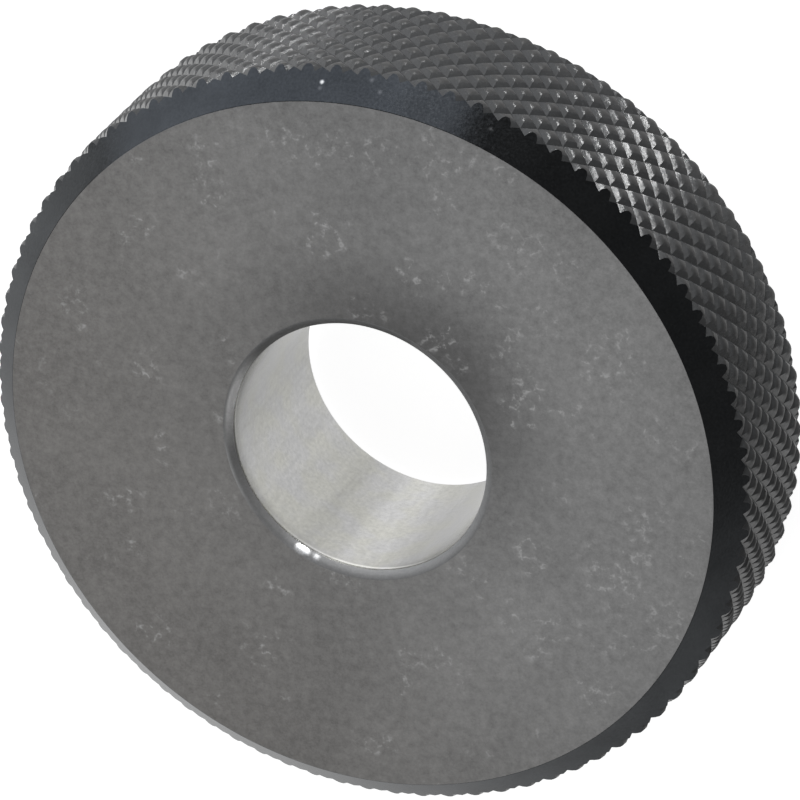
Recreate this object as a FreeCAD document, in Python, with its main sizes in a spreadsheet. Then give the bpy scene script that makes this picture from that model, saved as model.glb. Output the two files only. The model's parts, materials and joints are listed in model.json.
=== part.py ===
"""Setting ring gauge: one solid steel ring with a diamond-knurled rim.

The ring lies flat on its back face. The origin is the middle of that face and +Z is the
axis of the bore. Front and back are alike: a flat face with a 45 degree chamfer at the rim
and a small one at the mouth of the bore.

The ring is the common volume of two shapes:
- the blank, a turned ring with its four chamfers, left proud at the rim
- the knurled bar, whose skin is the diamond knurl and which runs past both faces
"""

import FreeCAD
import Part

import math
import os

import Sketcher
from FreeCAD import Vector

# The driving sizes, in millimetres and degrees, and what each one is.
SIZES = {
    "outer_diameter": (38.0, "across the points of the knurl"),
    "ring_width": (10.0, "from the back face to the front face"),
    "bore_diameter": (12.7, "the gauging bore"),
    "rim_chamfer": (1.35, "leg of the chamfer between a face and the knurl"),
    "bore_chamfer": (0.28, "leg of the chamfer at each mouth of the bore"),
    "knurl_teeth": (84, "diamonds in one turn of the rim"),
    "knurl_depth": (0.28, "from the points of the diamonds down to the grooves"),
    "rising_helix": (43.0, "lean of the grooves that climb as they go anticlockwise"),
    "falling_helix": (47.0, "lean of the grooves that fall as they go anticlockwise"),
}
NODE = "setting_ring"


def make_sheet(document):
    """Write the driving sizes into a spreadsheet, one aliased cell each."""
    sheet = document.addObject("Spreadsheet::Sheet", "Sizes")
    for row, (alias, (value, meaning)) in enumerate(SIZES.items(), start=1):
        sheet.set(f"A{row}", alias)
        sheet.set(f"B{row}", str(value))
        sheet.set(f"C{row}", meaning)
        sheet.setAlias(f"B{row}", alias)
    document.recompute()
    return sheet


def plane_of(body, role):
    """Return the origin plane of the body that has this role."""
    return next(feature for feature in body.Origin.OriginFeatures if feature.Role == role)


def add_size(sketch, kind, first, second, expression):
    """Bind one distance of the sketch to an expression on the sheet."""
    index = sketch.addConstraint(Sketcher.Constraint(kind, *first, *second, 1.0))
    sketch.setExpression(f"Constraints[{index}]", expression)


def draw_section(sketch):
    """Draw the turned section of the blank: X is the radius and Y is the height."""
    bore_wall, front_mouth, front_face, front_chamfer, rim, back_chamfer, back_face, back_mouth = range(8)
    start, end = 1, 2
    origin = (-1, 1)

    # The corners only start the drawing: the sizes below place them.
    corners = [(6, 1), (6, 9), (7, 10), (18, 10), (20, 8), (20, 2), (18, 0), (7, 0)]
    points = [Vector(x, y, 0) for x, y in corners]
    for index, point in enumerate(points):
        sketch.addGeometry(Part.LineSegment(point, points[(index + 1) % len(points)]))
    for index in range(len(points)):
        following = (index + 1) % len(points)
        sketch.addConstraint(Sketcher.Constraint("Coincident", index, end, following, start))
    for line in (bore_wall, rim):
        sketch.addConstraint(Sketcher.Constraint("Vertical", line))
    for line in (front_face, back_face):
        sketch.addConstraint(Sketcher.Constraint("Horizontal", line))
    sketch.addConstraint(Sketcher.Constraint("PointOnObject", back_face, start, -1))

    face_radius = "Sizes.outer_diameter / 2 - Sizes.rim_chamfer"
    proud_chamfer = "Sizes.rim_chamfer + Sizes.knurl_depth"
    for kind, first, second, expression in (
        ("DistanceY", (back_face, start), (front_face, start), "Sizes.ring_width"),
        ("DistanceX", origin, (bore_wall, start), "Sizes.bore_diameter / 2"),
        ("DistanceX", (back_mouth, end), (back_mouth, start), "Sizes.bore_chamfer"),
        ("DistanceY", (back_mouth, start), (back_mouth, end), "Sizes.bore_chamfer"),
        ("DistanceX", (front_mouth, start), (front_mouth, end), "Sizes.bore_chamfer"),
        ("DistanceY", (front_mouth, start), (front_mouth, end), "Sizes.bore_chamfer"),
        ("DistanceX", origin, (front_face, end), face_radius),
        ("DistanceX", origin, (back_face, start), face_radius),
        ("DistanceX", origin, (rim, start), "Sizes.outer_diameter / 2 + Sizes.knurl_depth"),
        ("DistanceY", (front_chamfer, end), (front_chamfer, start), proud_chamfer),
        ("DistanceY", (back_chamfer, end), (back_chamfer, start), proud_chamfer),
    ):
        add_size(sketch, kind, first, second, expression)


def make_blank(document):
    """Turn the blank: bore, faces and chamfers, and a rim that stands proud of the knurl."""
    body = document.addObject("PartDesign::Body", "Blank")
    sketch = body.newObject("Sketcher::SketchObject", "Section")
    sketch.AttachmentSupport = [(plane_of(body, "XZ_Plane"), "")]
    sketch.MapMode = "FlatFace"
    draw_section(sketch)
    turned = body.newObject("PartDesign::Revolution", "Turned")
    turned.Profile = sketch
    turned.ReferenceAxis = (sketch, ["V_Axis"])
    turned.Angle = 360
    return body


class Knurl:
    """The diamond knurl: where two sets of helical grooves cross, and what lies between.

    Grooves cross in rings of points, here called levels, that are evenly spaced in height.
    Level 0 is at half the width of the ring. Each diamond is a low pyramid on four
    crossings: two on its own level and one on each level beside it.
    """

    def __init__(self, sheet):
        self.crest_radius = sheet.get("outer_diameter") / 2
        self.groove_radius = self.crest_radius - sheet.get("knurl_depth")
        self.middle = sheet.get("ring_width") / 2
        self.teeth = round(sheet.get("knurl_teeth"))
        self.step = 2 * math.pi / self.teeth

        pitch = self.step * self.crest_radius
        rising = math.tan(math.radians(sheet.get("rising_helix")))
        falling = math.tan(math.radians(sheet.get("falling_helix")))
        self.level_height = pitch / (rising + falling)
        self.level_turn = self.level_height * rising / self.crest_radius

        # The last whole level lies where the rim chamfer has gone below the grooves.
        knurled = self.middle - sheet.get("rim_chamfer") + sheet.get("knurl_depth")
        self.last_level = math.ceil(knurled / self.level_height)
        self.end_height = self.middle + sheet.get("rim_chamfer")

    def point(self, radius, level, tooth):
        """Return the point on this radius, this level and this count of teeth round."""
        angle = tooth * self.step + level * self.level_turn
        height = self.middle + level * self.level_height
        return Vector(radius * math.cos(angle), radius * math.sin(angle), height)

    def crossing(self, level, tooth):
        """Return the point where two grooves cross."""
        return self.point(self.groove_radius, level, tooth)

    def diamond(self, level, tooth):
        """Return the four flanks of one diamond."""
        crest = self.point(self.crest_radius, level, tooth + 0.5)
        base = [
            self.crossing(level, tooth + 1),
            self.crossing(level + 1, tooth),
            self.crossing(level, tooth),
            self.crossing(level - 1, tooth + 1),
        ]
        return [flat_face(base[index - 1], base[index], crest) for index in range(4)]

    def plain_end(self, side):
        """Return the straight walls and the flat cap that close the bar at one end."""
        outline = []
        for tooth in range(self.teeth):
            inner = side * self.last_level
            outline.append(self.crossing(inner, tooth))
            outline.append(self.crossing(inner + side, tooth + (0 if side > 0 else 1)))
        height = self.middle + side * self.end_height
        raised = [Vector(corner.x, corner.y, height) for corner in outline]
        walls = []
        for index in range(len(outline)):
            walls.append(flat_face(outline[index - 1], outline[index], raised[index], raised[index - 1]))
        return walls + [flat_face(*raised)]

    def bar(self):
        """Return the solid bar whose skin is the knurl."""
        faces = self.plain_end(-1) + self.plain_end(1)
        for level in range(-self.last_level, self.last_level + 1):
            for tooth in range(self.teeth):
                faces += self.diamond(level, tooth)
        skin = Part.makeCompound(faces)
        skin.sewShape()
        solid = Part.makeSolid(skin.Shells[0])
        if solid.Volume < 0:
            solid.reverse()
        return solid


def flat_face(*corners):
    """Return the flat face inside these corners."""
    return Part.Face(Part.makePolygon([*corners, corners[0]]))


def make_bar(document, sheet):
    """Add the knurled bar, whose faceted skin is beyond what a sweep or a pattern makes."""
    feature = document.addObject("Part::Feature", "KnurledBar")
    feature.Shape = Knurl(sheet).bar()
    return feature


def make_ring(document, bar, blank):
    """Keep what the knurled bar and the blank have in common: the finished ring."""
    ring = document.addObject("Part::Common", "Ring")
    ring.Base = bar
    ring.Tool = blank
    ring.Label = NODE
    ring.Placement = FreeCAD.Placement()
    return ring


def check(document, ring):
    """Stop if any feature failed or if the ring isn't one valid solid."""
    for item in document.Objects:
        if "Invalid" in item.State or "Error" in item.State:
            raise RuntimeError(f"{item.Label} failed: {item.State}")
    if ring.Shape.isNull() or not ring.Shape.isValid() or len(ring.Shape.Solids) != 1:
        raise RuntimeError(f"{ring.Label} isn't one valid solid")


def main():
    """Build the ring and write it as a STEP file."""
    document = FreeCAD.newDocument("SettingRing")
    sheet = make_sheet(document)
    blank = make_blank(document)
    bar = make_bar(document, sheet)
    ring = make_ring(document, bar, blank)
    document.recompute()
    check(document, ring)

    os.makedirs("parts", exist_ok=True)
    ring.Shape.exportStep(f"parts/{ring.Label}.step")
    box = ring.Shape.BoundBox
    print(f"{ring.Label}: {box.XLength:.2f} x {box.YLength:.2f} x {box.ZLength:.2f} mm")
    print(f"volume {ring.Shape.Volume:.1f} mm3 in {len(ring.Shape.Faces)} faces")


main()
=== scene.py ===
"""Dresses the setting ring gauge: a knurled, blackened ring with ground faces and a lapped bore."""

import json
import logging
import math
from dataclasses import dataclass, field
from enum import Enum
from typing import Any

import bmesh
import bpy
from mathutils import Matrix, Vector, noise


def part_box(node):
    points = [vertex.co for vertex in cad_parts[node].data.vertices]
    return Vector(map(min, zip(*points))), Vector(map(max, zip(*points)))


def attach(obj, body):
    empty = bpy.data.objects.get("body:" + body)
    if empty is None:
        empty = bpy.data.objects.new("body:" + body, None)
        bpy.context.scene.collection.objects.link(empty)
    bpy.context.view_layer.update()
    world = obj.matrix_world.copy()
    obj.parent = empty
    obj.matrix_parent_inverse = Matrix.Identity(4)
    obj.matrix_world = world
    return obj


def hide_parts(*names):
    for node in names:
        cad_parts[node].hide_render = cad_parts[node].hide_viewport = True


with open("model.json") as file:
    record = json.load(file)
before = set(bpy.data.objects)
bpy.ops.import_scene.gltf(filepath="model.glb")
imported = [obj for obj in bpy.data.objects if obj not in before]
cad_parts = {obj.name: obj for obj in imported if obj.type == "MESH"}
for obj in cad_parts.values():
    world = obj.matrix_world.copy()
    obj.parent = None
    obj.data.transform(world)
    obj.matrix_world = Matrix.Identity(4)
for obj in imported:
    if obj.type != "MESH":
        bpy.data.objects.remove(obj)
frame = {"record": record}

MM = 0.001
NODE = "setting_ring"
AXIS = Vector((0.0, 0.0, 1.0))
DAYLIGHT = (0.88, 0.95, 1.07)
LOG = logging.getLogger(NODE)

Number = "Signal | float"


class Signal:
    """A value on its way through a node tree, which takes part in ordinary arithmetic."""

    def __init__(self, sheet: "NodeSheet", socket: bpy.types.NodeSocket) -> None:
        """Keep the socket that carries the value and the sheet that it is on."""
        self.sheet = sheet
        self.socket = socket

    def __add__(self, other: Number) -> "Signal":
        """Add."""
        return self.sheet.math("ADD", self, other)

    __radd__ = __add__

    def __sub__(self, other: Number) -> "Signal":
        """Take the other value away."""
        return self.sheet.math("SUBTRACT", self, other)

    def __rsub__(self, other: Number) -> "Signal":
        """Take this value away from the other."""
        return self.sheet.math("SUBTRACT", other, self)

    def __mul__(self, other: Number) -> "Signal":
        """Multiply."""
        return self.sheet.math("MULTIPLY", self, other)

    __rmul__ = __mul__

    def __truediv__(self, other: Number) -> "Signal":
        """Divide by the other value."""
        return self.sheet.math("DIVIDE", self, other)

    def ramped(self, low: float, high: float) -> "Signal":
        """Rise smoothly from 0 to 1 between two values.

        Args:
            low: the value that gives 0.
            high: the value that gives 1, which may be the smaller of the two.

        Returns:
            The ramped value.
        """
        settings = {"interpolation_type": "SMOOTHSTEP"}
        sockets = {"Value": self, "From Min": low, "From Max": high}
        return self.sheet.node("ShaderNodeMapRange", settings, sockets)["Result"]

    def hump(self, middle: float, reach: float) -> "Signal":
        """Return 1 where the value is in the middle, falling smoothly to 0 at this reach."""
        return self.sheet.math("ABSOLUTE", self - middle, 0.0).ramped(reach, 0.0)


class NodeSheet:
    """One node tree, written as expressions."""

    def __init__(self, tree: bpy.types.NodeTree) -> None:
        """Empty the tree and start on it."""
        self.tree = tree
        tree.nodes.clear()

    def node(self, kind: str, settings: dict[str, Any], sockets: dict[str, Any]) -> dict[str, Signal]:
        """Add a node.

        Args:
            kind: the node's type.
            settings: the node's own properties, set before its sockets.
            sockets: a value or a signal for each input that isn't left as it is.

        Returns:
            The node's outputs, by name.
        """
        node = self.tree.nodes.new(kind)
        for name, value in settings.items():
            setattr(node, name, value)
        for name, value in sockets.items():
            socket = node.inputs[name]
            if isinstance(value, Signal):
                self.tree.links.new(value.socket, socket)
            else:
                socket.default_value = value
        return {output.name: Signal(self, output) for output in node.outputs if output.enabled}

    def math(self, operation: str, first: Number, second: Number) -> Signal:
        """Add a Math node for two numbers and return its result."""
        return self.node("ShaderNodeMath", {"operation": operation}, {0: first, 1: second})["Value"]

    def mix_colour(self, factor: Number, first: Any, second: Any) -> Signal:
        """Mix two colours and return the result."""
        sockets = {"Factor": factor, 6: first, 7: second}
        settings = {"data_type": "RGBA"}
        return self.node("ShaderNodeMix", settings, sockets)["Result"]

    def noise(self, place: Signal, size: float, detail: float = 2.0, roughness: float = 0.5) -> Signal:
        """Return a noise around 0.5 whose patches are about this many millimetres across."""
        sockets = {"Vector": place, "Scale": 1.0 / size, "Detail": detail, "Roughness": roughness}
        return self.node("ShaderNodeTexNoise", {}, sockets)["Fac"]

    def place_in_mm(self) -> Signal:
        """Return the place on the object, in millimetres."""
        place = self.node("ShaderNodeTexCoord", {}, {})["Object"]
        sockets = {0: place, "Scale": 1.0 / MM}
        return self.node("ShaderNodeVectorMath", {"operation": "SCALE"}, sockets)["Vector"]

    def scaled(self, place: Signal, x: float, y: float, z: float) -> Signal:
        """Return a place whose three coordinates are each scaled."""
        settings = {"operation": "MULTIPLY"}
        return self.node("ShaderNodeVectorMath", settings, {0: place, 1: (x, y, z)})["Vector"]

    def radius(self, place: Signal) -> Signal:
        """Return how far a place lies from the axis."""
        flat = self.scaled(place, 1.0, 1.0, 0.0)
        return self.node("ShaderNodeVectorMath", {"operation": "LENGTH"}, {0: flat})["Value"]

    def azimuth_from(self, place: Signal, start: float) -> Signal:
        """Return how far a place lies round the axis from a direction, in degrees, from -180 to 180."""
        sockets = {"Vector": place, "Angle": math.radians(-start)}
        turn = self.node("ShaderNodeVectorRotate", {"rotation_type": "Z_AXIS"}, sockets)["Vector"]
        parts = self.node("ShaderNodeSeparateXYZ", {}, {0: turn})
        return self.math("ARCTAN2", parts["Y"], parts["X"]) * math.degrees(1.0)

    def near(self, place: Signal, spot: tuple[float, float, float], reach: float) -> Signal:
        """Return 1 on a spot, falling smoothly to 0 at this many millimetres from it."""
        gap = self.node("ShaderNodeVectorMath", {"operation": "DISTANCE"}, {0: place, 1: spot})["Value"]
        return gap.ramped(reach, 0.0)

    def along(self, place: Signal, azimuth: float) -> Signal:
        """Return how far a place lies from the axis in one direction."""
        sockets = {0: place, 1: direction(azimuth, 0.0)}
        return self.node("ShaderNodeVectorMath", {"operation": "DOT_PRODUCT"}, sockets)["Value"]

    def bump(self, height: Signal, depth: float) -> Signal:
        """Return the normal of a surface whose noise stands this many millimetres high."""
        sockets = {"Height": height, "Distance": depth * MM, "Strength": 1.0}
        return self.node("ShaderNodeBump", {}, sockets)["Normal"]


def grey(level: float, warmth: float = 0.0) -> tuple[float, float, float, float]:
    """Return a grey of this level, warm above 0 and cool below, as a colour."""
    return (level * (1.0 + warmth), level, level * (1.0 - warmth), 1.0)


@dataclass(frozen=True)
class Finish:
    """What every finish has: a name, and a principled shader with its constant values."""

    name: str

    def constants(self) -> dict[str, Any]:
        """Return the shader's values that are the same all over the surface."""
        return {"Metallic": 1.0}

    def varied(self, sheet: NodeSheet) -> dict[str, Signal]:
        """Return the shader's values that change over the surface."""
        raise NotImplementedError

    def material(self) -> bpy.types.Material:
        """Make the material.

        Returns:
            The new material.
        """
        made = bpy.data.materials.new(self.name)
        made.use_nodes = True
        sheet = NodeSheet(made.node_tree)
        sockets = {**self.constants(), **self.varied(sheet)}
        shader = sheet.node("ShaderNodeBsdfPrincipled", {}, sockets)["BSDF"]
        sheet.node("ShaderNodeOutputMaterial", {}, {"Surface": shader})
        return made


Spot = tuple[float, float, float]


@dataclass(frozen=True)
class Lobe:
    """A stretch round the axis that is brighter, or darker, than the rest: angles in degrees."""

    middle: float
    reach: float
    amount: float

    def over(self, around: Signal) -> Signal:
        """Return the amount where the angle is in the middle, falling smoothly to 0 at the reach."""
        return around.hump(self.middle, self.reach) * self.amount


@dataclass(frozen=True)
class GroundSteel(Finish):
    """The ground and lapped faces: dull grey steel with a fine grain, clouds and scuffs, and painted light
    and shade: lighter towards one side, darker near the bore and in two patches.
    """

    level: float = 0.345
    roughness: float = 0.5
    grain_mm: float = 0.14
    mottle_mm: float = 0.45
    cloud_mm: float = 4.5
    scuff_mm: float = 1.0
    patch_mm: float = 2.4
    scuff_gain: float = 2.2
    scuff_strength: float = 0.65
    # Painted shade: the face is darker near the bore, most on the side at this angle.
    painted_shade_side: float = 48.0
    painted_shade_spread: float = 110.0
    painted_shade_mm: tuple[float, float] = (12.5, 6.0)
    painted_shade: float = 0.6
    painted_shade_all_round: float = 0.06
    # Painted light: the face is lighter towards this side, with a warmer tint on the darker side.
    painted_light_side: float = 20.0
    painted_light_gain: float = 0.28
    face_mm: float = 17.0
    # Painted shade: two patches where the face is darker.
    painted_shade_spots: tuple[Spot, ...] = ((-4.0, -12.0, 10.0), (3.0, 15.0, 10.0))
    painted_shade_spot_mm: float = 9.0
    painted_shade_spot_depth: float = 0.1

    def varied(self, sheet: NodeSheet) -> dict[str, Signal]:
        """Return the grain, the mottle, the painted light and shade, the scuffs and the roughness."""
        place = sheet.place_in_mm()
        grain = sheet.noise(place, self.grain_mm, 3.0, 0.7)
        mottle = sheet.noise(place, self.mottle_mm, 3.0, 0.6)
        cloud = sheet.noise(place, self.cloud_mm, 2.0)
        fine = 1.0 + (grain - 0.5) * 0.8 + (mottle - 0.5) * 0.6 + (cloud - 0.5) * 0.3
        # Painted shade: darker near the bore, most on one side.
        side = sheet.azimuth_from(place, self.painted_shade_side)
        painted_shading = side.hump(0.0, self.painted_shade_spread) * self.painted_shade + self.painted_shade_all_round
        lit = 1.0 - sheet.radius(place).ramped(*self.painted_shade_mm) * painted_shading
        # Painted shade: two darker patches.
        for spot in self.painted_shade_spots:
            lit = lit - sheet.near(place, spot, self.painted_shade_spot_mm) * self.painted_shade_spot_depth
        # Painted light: lighter towards one side; the tint below follows it, warmer on the darker side.
        bright = sheet.along(place, self.painted_light_side)
        lit = lit + bright.ramped(-self.face_mm, self.face_mm) * self.painted_light_gain
        warmth = sheet.mix_colour(bright.ramped(10.0, -self.face_mm), grey(1.0, 0.002), grey(1.0, 0.03))
        ground = sheet.mix_colour(fine * lit * self.level, grey(0.0), warmth)
        scuffed = grey(self.level * self.scuff_gain)
        return {
            "Base Color": sheet.mix_colour(self.scuffs(sheet, place, bright), ground, scuffed),
            "Roughness": (grain - 0.5) * 0.25 + self.roughness,
            "Normal": sheet.bump(grain, 0.005),
        }

    def scuffs(self, sheet: NodeSheet, place: Signal, bright: Signal) -> Signal:
        """Return where short pale scuffs lie, which come in patches.

        Args:
            sheet: the material's node sheet.
            place: the place on the ring, in millimetres.
            bright: how far the place lies towards the side with painted light, where there are more of them.

        Returns:
            The scuffs, from 0 to 1.
        """
        patches = sheet.noise(place, self.patch_mm, 1.0) + bright.ramped(-4.0, 12.0) * 0.09
        strokes = sheet.noise(place, self.scuff_mm, 2.0, 0.6).hump(0.5, 0.06)
        broken = sheet.noise(place, self.mottle_mm, 3.0, 0.7).ramped(0.48, 0.66)
        return strokes * broken * patches.ramped(0.57, 0.69) * self.scuff_strength


@dataclass(frozen=True)
class MouthWithPaintedLight(Finish):
    """The small chamfer at the mouth of the bore: rough steel with painted light and shade that rise and
    fall round it, and one bright nick.
    """

    level: float = 0.6
    roughness: float = 0.8
    grain_mm: float = 0.14
    chamfer_mm: tuple[float, float] = (6.78, 6.58)
    rim_level: float = 0.7
    # Painted light and shade: the tone of the rim and of the chamfer rises and falls round the mouth.
    painted_rim_light: Lobe = Lobe(-46.0, 24.0, 0.35)
    painted_chamfer_light: Lobe = Lobe(-81.0, 30.0, 1.2)
    nick: float = 241.0
    nick_mm: tuple[float, float] = (0.5, 0.4)
    nick_gloss: float = 0.32
    nick_spots: tuple[Spot, ...] = ((-3.44, -5.50, 9.86), (-3.14, -5.68, 9.86), (-2.66, -5.91, 9.85))

    def varied(self, sheet: NodeSheet) -> dict[str, Signal]:
        """Return the steel, with painted light and shade round the mouth and the nick in it."""
        place = sheet.place_in_mm()
        grain = sheet.noise(place, self.grain_mm, 3.0, 0.7)
        around = sheet.azimuth_from(place, self.nick)
        inner = sheet.radius(place).ramped(*self.chamfer_mm)
        # Painted light and shade round the mouth: the chamfer lighter near 160 degrees and from 216 towards
        # 351, the rim lighter near 195.
        chamfer_light = around.ramped(-25.0, 110.0) * 0.2 + self.painted_chamfer_light.over(around) - 0.14
        rim = self.painted_rim_light.over(around)
        level = (rim + self.rim_level + inner * (chamfer_light - rim)) * (0.8 + grain * 0.4) * self.level
        # The steel colour carries the painted light and shade.
        rubbed = sheet.mix_colour(level, grey(0.0), grey(1.0))
        nicked = (self.nick_depth(sheet, place) + (grain - 0.5) * 0.4).ramped(0.15, 0.9)
        return {
            "Base Color": sheet.mix_colour(nicked, rubbed, grey(0.92)),
            "Roughness": self.roughness - nicked * self.nick_gloss,
            "Normal": sheet.bump(around.ramped(-12.0, 12.0), 0.4),
        }

    def nick_depth(self, sheet: NodeSheet, place: Signal) -> Signal:
        """Return how deep in the nick a place is: the first spot is the deepest."""
        first_mm, other_mm = self.nick_mm
        depth = sheet.near(place, self.nick_spots[0], first_mm)
        for spot in self.nick_spots[1:]:
            depth = depth + sheet.near(place, spot, other_mm) * 0.6
        return depth


@dataclass(frozen=True)
class LappedSteel(Finish):
    """The bore: bright lapped steel with a painted sheen that changes round the wall, and painted shade and
    highlights at its front end.
    """

    level: float = 0.38
    roughness: float = 0.25
    streak_mm: float = 1.2
    line_mm: float = 0.2
    grain_mm: float = 0.2
    hue_mm: float = 1.6
    middle: float = 228.0
    width_mm: float = 10.0
    # Painted sheen: brighter bands round the wall that stand in for reflections.
    broad_painted_sheen: float = 0.7
    painted_sheen_lobes: tuple[Lobe, ...] = (Lobe(-12.0, 62.0, 0.54), Lobe(36.0, 30.0, 0.68), Lobe(74.0, 60.0, 0.24))
    # Painted shade and painted highlights near the front end of the bore.
    painted_entry_shade: float = 0.35
    painted_entry_shade_gap: Lobe = Lobe(30.0, 50.0, 0.35)
    painted_end_highlights: tuple[Lobe, Lobe] = (Lobe(42.0, 60.0, 1.2), Lobe(-68.0, 30.0, 0.7))
    painted_corner_highlight: Lobe = Lobe(-12.0, 40.0, 1.5)
    deep_painted_shade: Lobe = Lobe(-80.0, 40.0, 0.3)

    def sheen(self, around: Signal) -> Signal:
        """Return the painted sheen, which stands in for reflections round the wall, by the direction in
        degrees.
        """
        first, *others = self.painted_sheen_lobes
        sheen = self.broad_painted_sheen + first.over(around)
        for lobe in others:
            sheen = sheen + lobe.over(around)
        return sheen

    def painted_entry_light(self, height: Signal, around: Signal) -> Signal:
        """Return the painted shade near the front end of the wall, where it turns into the mouth, and its
        painted highlights.

        Args:
            height: the height on the wall, in millimetres.
            around: the direction, in degrees.

        Returns:
            The painted shade, which is below 0 where painted highlights make the wall brighter.
        """
        def depth(start: float, end: float) -> Signal:
            """Rise from 0 to 1 between two depths below the front face."""
            return height.ramped(self.width_mm - start, self.width_mm - end)

        first_end, second_end = self.painted_end_highlights
        # Painted shade near the front end with a gap in it, painted highlights at the ends and the corner,
        # and deeper painted shade on one side.
        dark = depth(1.2, 0.2) * (self.painted_entry_shade - self.painted_entry_shade_gap.over(around))
        dark = dark - depth(0.6, 0.35) * (first_end.over(around) + second_end.over(around))
        dark = dark - depth(0.42, 0.3) * self.painted_corner_highlight.over(around)
        return dark + depth(2.4, 0.5) * self.deep_painted_shade.over(around)

    def varied(self, sheet: NodeSheet) -> dict[str, Signal]:
        """Return the painted sheen and shade, the streaks along the bore, the grain and the roughness."""
        place = sheet.place_in_mm()
        lengthwise = sheet.scaled(place, 1.0, 1.0, 0.1)
        streaks = sheet.noise(lengthwise, self.streak_mm, 2.0)
        lines = sheet.noise(lengthwise, self.line_mm, 2.0)
        grain = sheet.noise(place, self.grain_mm, 2.0, 0.6)
        around = sheet.azimuth_from(place, self.middle)
        height = sheet.node("ShaderNodeSeparateXYZ", {}, {0: place})["Z"]
        fine = 1.0 + (streaks - 0.5) * 0.3 + (lines - 0.5) * 0.15 + (grain - 0.5) * 0.45
        level = self.sheen(around) * fine * (1.0 - self.painted_entry_light(height, around)) * self.level
        hue = sheet.noise(place, self.hue_mm, 2.0).ramped(0.35, 0.65)
        tint = sheet.mix_colour(hue, grey(1.0, 0.002), (1.01, 1.005, 0.94, 1.0))
        return {
            "Base Color": sheet.mix_colour(level, grey(0.0), tint),
            "Roughness": (grain - 0.5) * 0.1 + self.roughness,
            "Normal": sheet.bump(grain, 0.001),
        }


@dataclass(frozen=True)
class BlackOxide(Finish):
    """The blackening on the chamfers: a thin dark oxide with a slightly blue gloss and a few nicks."""

    level: float = 0.069
    roughness: float = 0.15
    coolness: float = -0.05
    edge_gloss: float = 0.68
    grain_mm: float = 0.12
    patch_mm: float = 2.5
    nick_mm: tuple[float, float] = (0.16, 0.17)
    nicks: tuple[Spot, ...] = (
        (-0.31, 18.35, 9.30),
        (-0.34, 18.14, 9.51),
        (2.07, 18.51, 9.03),
        (2.57, 18.09, 9.38),
        (7.84, 16.62, 9.28),
    )

    def constants(self) -> dict[str, Any]:
        """Return the shader's values that are the same all over the surface."""
        return {"Metallic": 1.0, "Specular Tint": grey(self.edge_gloss)}

    def varied(self, sheet: NodeSheet) -> dict[str, Signal]:
        """Return the grain of the oxide, its nicks and its roughness."""
        place = sheet.place_in_mm()
        grain = sheet.noise(place, self.grain_mm, 3.0, 0.6)
        patches = sheet.noise(place, self.patch_mm, 2.0)
        tone = 0.5 + (grain - 0.5) * 0.8 + (patches - 0.5) * 0.6
        dark, light = grey(self.level * 0.5, self.coolness), grey(self.level * 1.5, self.coolness)
        oxide = sheet.mix_colour(tone, dark, light)
        first_mm, other_mm = self.nick_mm
        nicked = sheet.near(place, self.nicks[0], first_mm)
        for nick in self.nicks[1:]:
            nicked = nicked + sheet.near(place, nick, other_mm) * 0.12
        return {
            "Base Color": sheet.mix_colour(nicked * 0.8, oxide, grey(0.8)),
            "Roughness": (grain - 0.5) * 0.2 + nicked * 0.5 + self.roughness,
            "Normal": sheet.bump(grain, 0.003),
        }


@dataclass(frozen=True)
class HandledKnurl(BlackOxide):
    """The blackening on the knurl, which hands have rubbed grey on the points of the diamonds."""

    level: float = 0.027
    roughness: float = 0.24
    nicks: tuple[Spot, ...] = ((-0.31, 18.45, 9.2),)
    gloss: float = 1.45
    dimple_mm: float = 0.5
    dimple_depth_mm: float = 0.022
    crest_mm: float = 19.0
    depth_mm: float = 0.28
    rubbed_patch_mm: float = 1.2
    rubbed_level: float = 0.025
    rubbed_dullness: float = 0.25
    dull_side: float = -22.0
    dull: Lobe = Lobe(0.0, 50.0, 0.2)

    def constants(self) -> dict[str, Any]:
        """Return the shader's values that are the same all over the surface."""
        return {"IOR": self.gloss}

    def varied(self, sheet: NodeSheet) -> dict[str, Signal]:
        """Return the oxide, rubbed towards steel on the points and duller on one side."""
        oxide = super().varied(sheet)
        place = sheet.place_in_mm()
        patchy = sheet.noise(place, self.rubbed_patch_mm, 3.0, 0.7)
        height = sheet.radius(place) + (patchy - 0.5) * (self.depth_mm * 0.5)
        rubbed = height.ramped(self.crest_mm - self.depth_mm * 0.45, self.crest_mm)
        steel = grey(self.rubbed_level, 0.02)
        dull = self.dull.over(sheet.azimuth_from(place, self.dull_side))
        return {
            **oxide,
            "Base Color": sheet.mix_colour(rubbed * 0.8, oxide["Base Color"], steel),
            "Roughness": oxide["Roughness"] + rubbed * self.rubbed_dullness + dull,
            "Normal": sheet.bump(sheet.noise(place, self.dimple_mm, 3.0, 0.6), self.dimple_depth_mm),
            "Metallic": rubbed * 0.15,
        }


class Zone(Enum):
    """The differently finished surfaces of the ring, in the order of its material slots."""

    KNURL = 0
    CHAMFER = 1
    FACE = 2
    MOUTH = 3
    BORE = 4


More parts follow.
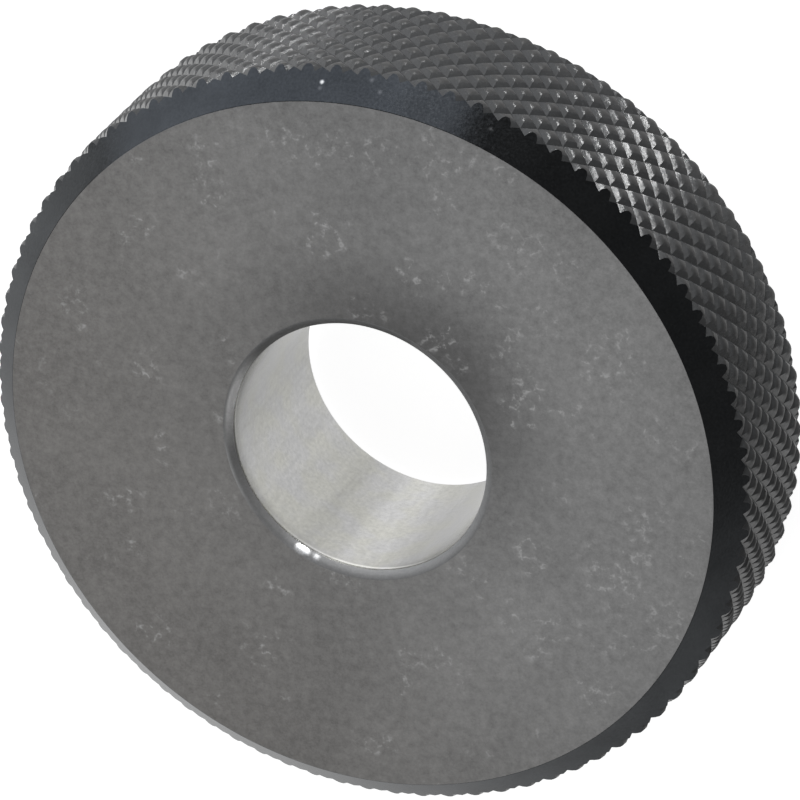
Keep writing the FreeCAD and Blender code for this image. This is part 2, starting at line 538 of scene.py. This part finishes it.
@dataclass
class Ring:
    """The ring: a diamond knurl between two chamfers, two flat faces and the bore."""

    outer_radius: float
    width: float
    bore_radius: float
    rim_chamfer: float = 1.35 * MM
    bore_chamfer: float = 0.28 * MM
    teeth: int = 84
    knurl_depth: float = 0.28 * MM
    rising_helix: float = math.radians(43.0)
    falling_helix: float = math.radians(47.0)
    diamond_cuts: int = 5
    foot_slope: float = math.radians(44.0)
    top_slope: float = math.radians(24.0)
    blunting: float = 0.25
    waver: float = 0.025 * MM
    waver_length: float = 1.1 * MM
    waver_seed: int = 5
    rim_edge: float = 0.03 * MM
    mouth_edge: float = 0.15 * MM
    corner: float = math.radians(32.0)
    chamfer_corner: float = math.radians(10.0)
    mesh: bmesh.types.BMesh = field(default_factory=bmesh.new)

    def __post_init__(self) -> None:
        """Work out the knurl and the circles of the turned surfaces."""
        self.step = 2.0 * math.pi / self.teeth
        rising, falling = math.tan(self.rising_helix), math.tan(self.falling_helix)
        self.level_height = self.step * self.outer_radius / (rising + falling)
        self.level_turn = self.level_height * rising / self.outer_radius
        self.groove_radius = self.outer_radius - self.knurl_depth
        knurled = self.width / 2.0 - self.rim_chamfer + self.knurl_depth
        self.last_level = math.ceil(knurled / self.level_height)
        self.face_radius = self.outer_radius - self.rim_chamfer
        self.mouth_radius = self.bore_radius + self.bore_chamfer

    def knurl_point(self, radius: float, level: float, tooth: float) -> Vector:
        """Return the point on this radius, this level and this count of teeth round."""
        angle = tooth * self.step + level * self.level_turn
        height = self.width / 2.0 + level * self.level_height
        return Vector((radius * math.cos(angle), radius * math.sin(angle), height))

    def rise(self, first: float, second: float) -> float:
        """Return the height of a diamond with bowed flanks, from 0 in the grooves to 1 on its point.

        Args:
            first: the place across the rising grooves, from -1 in one to 1 in the next.
            second: the place across the falling grooves, from -1 in one to 1 in the next.

        Returns:
            The height.
        """
        half_pitch = self.step * self.outer_radius * math.cos(self.rising_helix) / 2.0
        foot, top = math.tan(self.foot_slope), math.tan(self.top_slope)
        inward = 1.0 - max(abs(first), abs(second))
        flank = (foot * inward - (foot - top) * inward * inward / 2.0) * half_pitch / self.knurl_depth
        overlap = max(self.blunting - abs(flank - 1.0), 0.0)
        return max(min(flank, 1.0) - overlap * overlap / (4.0 * self.blunting), 0.0)

    def form_diamond(self) -> None:
        """Make the lowest diamond of the first column, with four flanks and a blunt point."""
        mesh, lowest = self.mesh, -self.last_level
        crossings = ((lowest, 1), (lowest + 1, 0), (lowest, 0), (lowest - 1, 1))
        mesh.faces.new([mesh.verts.new(self.knurl_point(self.groove_radius, *place)) for place in crossings])
        bmesh.ops.subdivide_edges(mesh, edges=mesh.edges, cuts=self.diamond_cuts, use_grid_fill=True)
        for vertex in mesh.verts:
            level = (vertex.co.z - self.width / 2.0) / self.level_height
            tooth = (math.atan2(vertex.co.y, vertex.co.x) - level * self.level_turn) / self.step
            rise = self.rise(2.0 * tooth - 1.0, 2.0 * (tooth + level - lowest) - 1.0)
            vertex.co = self.knurl_point(self.groove_radius + rise * self.knurl_depth, level, tooth)
        mesh.normal_update()
        ridges = [face for face in mesh.faces if self.is_bent(face)]
        bmesh.ops.triangulate(mesh, faces=ridges, quad_method="LONG_EDGE")

    def is_bent(self, face: bmesh.types.BMFace) -> bool:
        """Return whether a ridge crosses this face."""
        first = face.verts[0].co
        return any(abs(face.normal.dot(vertex.co - first)) > 0.01 * MM for vertex in face.verts)

    def spin_knurl(self) -> None:
        """Repeat the diamond up its column and the column round the rim."""
        mesh = self.mesh
        levels = 2 * self.last_level
        bmesh.ops.spin(
            mesh, geom=[*mesh.verts, *mesh.edges, *mesh.faces], cent=(0.0, 0.0, 0.0), axis=AXIS,
            dvec=AXIS * self.level_height, angle=levels * self.level_turn, steps=levels,
            use_duplicate=True,
        )
        columns = self.teeth - 1
        bmesh.ops.spin(
            mesh, geom=[*mesh.verts, *mesh.edges, *mesh.faces], cent=(0.0, 0.0, 0.0), axis=AXIS,
            dvec=(0.0, 0.0, 0.0), angle=columns * self.step, steps=columns, use_duplicate=True,
        )
        bmesh.ops.remove_doubles(mesh, verts=mesh.verts, dist=1e-6)
        bmesh.ops.recalc_face_normals(mesh, faces=mesh.faces)

    def wear_knurl(self) -> None:
        """Shift the knurl a little from place to place, as an old rolling tool does."""
        noise.seed_set(self.waver_seed)
        for vertex in self.mesh.verts:
            shift = noise.noise_vector(vertex.co / self.waver_length) * self.waver
            moved = vertex.co + shift
            radius = moved.xy.length
            inside = min(radius, self.outer_radius) / radius
            vertex.co = Vector((moved.x * inside, moved.y * inside, moved.z))

    def ease(self, edges: list[bmesh.types.BMEdge], size: float, segments: int) -> None:
        """Bevel edges by a small size."""
        bmesh.ops.bevel(
            self.mesh, geom=edges, offset=size, offset_type="OFFSET", segments=segments,
            profile=0.5, affect="EDGES", clamp_overlap=True, material=-1,
        )

    def beyond_chamfer(self, place: Vector, front: bool) -> float:
        """Return how far a place lies outside a rim chamfer, by radius and height together."""
        height = place.z if front else self.width - place.z
        return place.xy.length + height - self.face_radius - self.width

    def trim_knurl(self, front: bool) -> None:
        """Cut the knurl where it meets the chamfer on one side.

        Args:
            front: True for the chamfer of the front face, False for the back one.
        """
        mesh = self.mesh
        cut = []
        for edge in list(mesh.edges):
            start, end = edge.verts
            first = self.beyond_chamfer(start.co, front)
            last = self.beyond_chamfer(end.co, front)
            if first * last < 0.0:
                _, vertex = bmesh.utils.edge_split(edge, start, first / (first - last))
                below = self.face_radius + self.width - vertex.co.xy.length
                vertex.co.z = below if front else self.width - below
                cut.append(vertex)
        bmesh.ops.connect_verts(mesh, verts=cut)
        waste = [
            face for face in mesh.faces
            if self.beyond_chamfer(face.calc_center_median(), front) > 0.0
        ]
        bmesh.ops.delete(mesh, geom=waste, context="FACES")
        border = [vertex for vertex in mesh.verts if vertex.is_boundary]
        bmesh.ops.remove_doubles(mesh, verts=border, dist=self.rim_edge)

    def carry(
        self, loop: list[bmesh.types.BMEdge], radius: float, height: float, zone: Zone
    ) -> list[bmesh.types.BMEdge]:
        """Draw an open loop out to a circle.

        Args:
            loop: the edges of the open loop.
            radius: the circle's radius.
            height: the circle's height.
            zone: the finish of the new surface.

        Returns:
            The edges of the circle.
        """
        drawn = bmesh.ops.extrude_edge_only(self.mesh, edges=loop)["geom"]
        for item in drawn:
            if isinstance(item, bmesh.types.BMVert):
                across = item.co.xy.normalized() * radius
                item.co = Vector((across.x, across.y, height))
            elif isinstance(item, bmesh.types.BMFace):
                item.material_index = zone.value
        return [item for item in drawn if isinstance(item, bmesh.types.BMEdge) and item.is_boundary]

    def turn_surfaces(self) -> None:
        """Make the chamfers, the faces and the bore from the two toothed edges of the knurl."""
        open_edges = [edge for edge in self.mesh.edges if edge.is_boundary]
        middle = self.width / 2.0
        front = [edge for edge in open_edges if edge.verts[0].co.z > middle]
        back = [edge for edge in open_edges if edge.verts[0].co.z < middle]

        face_edge = self.carry(front, self.face_radius, self.width, Zone.CHAMFER)
        mouth = self.carry(face_edge, self.mouth_radius, self.width, Zone.FACE)
        bore_top = self.carry(mouth, self.bore_radius, self.width - self.bore_chamfer, Zone.MOUTH)
        bore_end = self.carry(bore_top, self.bore_radius, self.bore_chamfer, Zone.BORE)
        back_mouth = self.carry(bore_end, self.mouth_radius, 0.0, Zone.MOUTH)
        back_edge = self.carry(back, self.face_radius, 0.0, Zone.CHAMFER)
        joined = bmesh.ops.bridge_loops(self.mesh, edges=back_edge + back_mouth)["faces"]
        for face in joined:
            face.material_index = Zone.FACE.value

        self.ease(face_edge + back_edge, self.rim_edge, 2)
        self.ease(mouth + bore_top + bore_end + back_mouth, self.mouth_edge, 4)
        rounded = self.mouth_radius + self.mouth_edge
        for face in self.mesh.faces:
            inside = face.calc_center_median().xy.length < rounded
            if face.material_index == Zone.FACE.value and inside:
                face.material_index = Zone.MOUTH.value

    def shade(self) -> None:
        """Shade every surface as a smooth one, with its grooves, ridges and corners sharp."""
        for face in self.mesh.faces:
            face.smooth = True
        for edge in self.mesh.edges:
            zones = {Zone(face.material_index) for face in edge.link_faces}
            corner = self.chamfer_corner if Zone.CHAMFER in zones else self.corner
            borders_knurl = Zone.KNURL in zones and len(zones) > 1
            edge.smooth = not borders_knurl and edge.calc_face_angle(math.pi) < corner

    def build(self, finishes: dict[Zone, Finish]) -> bpy.types.Object:
        """Model the ring and dress it.

        Args:
            finishes: the finish of each zone.

        Returns:
            The finished piece, linked to the scene.
        """
        self.form_diamond()
        self.spin_knurl()
        self.wear_knurl()
        for front in (True, False):
            self.trim_knurl(front)
        self.turn_surfaces()
        bmesh.ops.recalc_face_normals(self.mesh, faces=self.mesh.faces)
        self.shade()

        shape = bpy.data.meshes.new("knurled_ring")
        self.mesh.to_mesh(shape)
        self.mesh.free()
        for zone in Zone:
            shape.materials.append(finishes[zone].material())
        piece = bpy.data.objects.new("knurled_ring", shape)
        bpy.context.scene.collection.objects.link(piece)
        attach(piece, "root")
        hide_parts(NODE)
        LOG.info("%s: %d faces", piece.name, len(shape.polygons))
        return piece


def direction(azimuth: float, elevation: float) -> Vector:
    """Return the unit vector at an azimuth from +X towards +Y and an elevation, in degrees."""
    turn, rise = math.radians(azimuth), math.radians(elevation)
    return Vector((math.cos(turn) * math.cos(rise), math.sin(turn) * math.cos(rise), math.sin(rise)))


@dataclass(frozen=True)
class Softbox:
    """A rectangular lamp that faces the ring."""

    name: str
    azimuth: float
    elevation: float
    across: float
    height: float
    brightness: float
    colour: tuple[float, float, float] = (1.0, 1.0, 1.0)
    distance: float = 0.6

    def place(self) -> None:
        """Add the lamp to the scene. Its brightness is that of its surface, where the floor is 1."""
        lamp = bpy.data.lights.new(self.name, "AREA")
        lamp.shape = "RECTANGLE"
        lamp.size, lamp.size_y = self.across, self.height
        lamp.energy = self.brightness * math.pi * self.across * self.height
        lamp.color = self.colour
        stand = bpy.data.objects.new(self.name, lamp)
        towards = direction(self.azimuth, self.elevation)
        stand.location = towards * self.distance
        stand.rotation_euler = towards.to_track_quat("Z", "Y").to_euler()
        bpy.context.scene.collection.objects.link(stand)


SOFTBOXES = (
    Softbox(
        "window", azimuth=132.0, elevation=20.0, across=0.72, height=0.32, brightness=0.85, colour=DAYLIGHT,
    ),
    Softbox(
        "side_window", azimuth=90.0, elevation=22.0, across=0.165, height=0.32, brightness=0.68,
        colour=DAYLIGHT,
    ),
    Softbox("sparkle", azimuth=88.0, elevation=10.0, across=0.12, height=0.08, brightness=95.0),
    Softbox("fill", azimuth=228.0, elevation=56.0, across=0.5, height=0.5, brightness=0.55),
)


@dataclass(frozen=True)
class Studio:
    """The pale floor, the room round it and the lamps."""

    floor_size: float = 6.0
    floor_tone: float = 0.5
    floor_glow: float = 0.93
    even_reach: tuple[float, float] = (30.0 * MM, 42.0 * MM)
    even_across: tuple[float, float] = (20.5 * MM, 27.0 * MM)
    far_reach: tuple[float, float] = (50.0 * MM, 200.0 * MM)
    far_glow: float = 0.7
    gloss: float = 0.12
    matt: float = 0.3
    gloss_edges: tuple[float, float] = (1.0 * MM, 8.0 * MM)
    shaded_side: float = -17.0
    shade_edges: tuple[float, float] = (0.1, 0.74)
    shaded_glow: float = 0.24
    horizon: float = 0.62
    ceiling: float = 0.13
    horizon_ends: float = 0.38
    softboxes: tuple[Softbox, ...] = ()

    def glow(self, sheet: NodeSheet) -> Signal:
        """Return the glow of the floor.

        It is even where the camera looks. Farther out it falls off, more on the side that
        stands in shade.

        Args:
            sheet: the floor's node sheet.

        Returns:
            The glow as a number.
        """
        place = sheet.node("ShaderNodeTexCoord", {}, {})["Object"]
        reach = sheet.node("ShaderNodeVectorMath", {"operation": "LENGTH"}, {0: place})["Value"]
        shade = direction(self.shaded_side, 0.0)
        sockets = {0: place, 1: shade}
        along = sheet.node("ShaderNodeVectorMath", {"operation": "DOT_PRODUCT"}, sockets)["Value"]
        across = sheet.node("ShaderNodeSeparateXYZ", {}, {0: place})["X"]
        away = sheet.math("MAXIMUM", reach.ramped(*self.even_reach), across.ramped(*self.even_across))
        side = (along / reach).ramped(*self.shade_edges) * away
        far = reach.ramped(*self.far_reach)
        return (1.0 - side * (1.0 - self.shaded_glow)) * (1.0 - far * (1.0 - self.far_glow))

    def polish(self, sheet: NodeSheet) -> Signal:
        """Return the roughness of the floor, which is glossier on one side of the ring."""
        place = sheet.node("ShaderNodeTexCoord", {}, {})["Object"]
        across = sheet.node("ShaderNodeSeparateXYZ", {}, {0: place})["X"]
        return self.matt - across.ramped(*self.gloss_edges) * (self.matt - self.gloss)

    def lay_floor(self) -> None:
        """Lay a pale floor that glows a little, so that it stays clean round the ring."""
        plane = bmesh.new()
        bmesh.ops.create_grid(plane, x_segments=1, y_segments=1, size=self.floor_size / 2.0)
        shape = bpy.data.meshes.new("floor")
        plane.to_mesh(shape)
        plane.free()
        paint = bpy.data.materials.new("pale_floor")
        paint.use_nodes = True
        sheet = NodeSheet(paint.node_tree)
        glow = sheet.mix_colour(self.glow(sheet), grey(0.0), grey(1.0))
        sockets = {
            "Base Color": grey(self.floor_tone),
            "Roughness": self.polish(sheet),
            "Emission Color": glow,
            "Emission Strength": self.floor_glow,
        }
        shader = sheet.node("ShaderNodeBsdfPrincipled", {}, sockets)["BSDF"]
        sheet.node("ShaderNodeOutputMaterial", {}, {"Surface": shader})
        shape.materials.append(paint)
        floor = bpy.data.objects.new("floor", shape)
        bpy.context.scene.collection.objects.link(floor)

    def light_room(self) -> None:
        """Light the room: bright at the horizon and dim overhead."""
        world = bpy.data.worlds.new("studio")
        world.use_nodes = True
        bpy.context.scene.world = world
        sheet = NodeSheet(world.node_tree)
        place = sheet.node("ShaderNodeTexCoord", {}, {})["Generated"]
        rise = sheet.node("ShaderNodeSeparateXYZ", {}, {0: place})["Z"]
        overhead = rise.ramped(0.0, self.horizon_ends)
        colour = sheet.mix_colour(overhead, grey(self.horizon), grey(self.ceiling))
        light = sheet.node("ShaderNodeBackground", {}, {"Color": colour})["Background"]
        sheet.node("ShaderNodeOutputWorld", {}, {"Surface": light})

    def set_up(self) -> None:
        """Make the floor, the room and the lamps."""
        self.lay_floor()
        self.light_room()
        for softbox in self.softboxes:
            softbox.place()
        bpy.context.scene.view_settings.view_transform = "Standard"


@dataclass(frozen=True)
class Viewpoint:
    """The camera of the photograph, fitted to the outlines of the ring."""

    target: Vector = Vector((0.233, 0.310, 5.0)) * MM
    distance: float = 325.38 * MM
    azimuth: float = 48.839
    elevation: float = 56.237
    roll: float = -138.798
    lens: float = 309.08

    def place(self) -> None:
        """Add the camera and make it the scene's."""
        lens = bpy.data.cameras.new("photograph")
        lens.lens = self.lens
        lens.sensor_width = 36.0
        lens.clip_start = 0.01
        camera = bpy.data.objects.new("photograph", lens)
        back = direction(self.azimuth, self.elevation)
        upright = (-back).to_track_quat("-Z", "Y").to_matrix()
        turned = Matrix.Rotation(math.radians(self.roll), 3, back) @ upright
        camera.matrix_world = Matrix.Translation(self.target + back * self.distance) @ turned.to_4x4()
        bpy.context.scene.collection.objects.link(camera)
        bpy.context.scene.camera = camera


def main() -> None:
    """Build the ring to the part's sizes, the studio and the camera."""
    logging.basicConfig(level=logging.INFO, format="%(name)s: %(message)s")
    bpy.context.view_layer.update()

    low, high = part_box(NODE)
    bore = next(mount for mount in frame["record"]["mounts"] if mount["name"] == "bore")
    ring = Ring(
        outer_radius=(high[0] - low[0]) / 2.0,
        width=high[2] - low[2],
        bore_radius=bore["dims"]["r_mm"] * MM,
    )
    finishes = {
        Zone.KNURL: HandledKnurl("blackened_knurl"),
        Zone.CHAMFER: BlackOxide("blackened_chamfer"),
        Zone.FACE: GroundSteel("ground_face"),
        Zone.MOUTH: MouthWithPaintedLight("mouth_with_painted_light"),
        Zone.BORE: LappedSteel("lapped_bore"),
    }
    ring.build(finishes)

    studio = Studio(softboxes=SOFTBOXES)
    studio.set_up()
    Viewpoint().place()


if __name__ == "__main__":
    main()
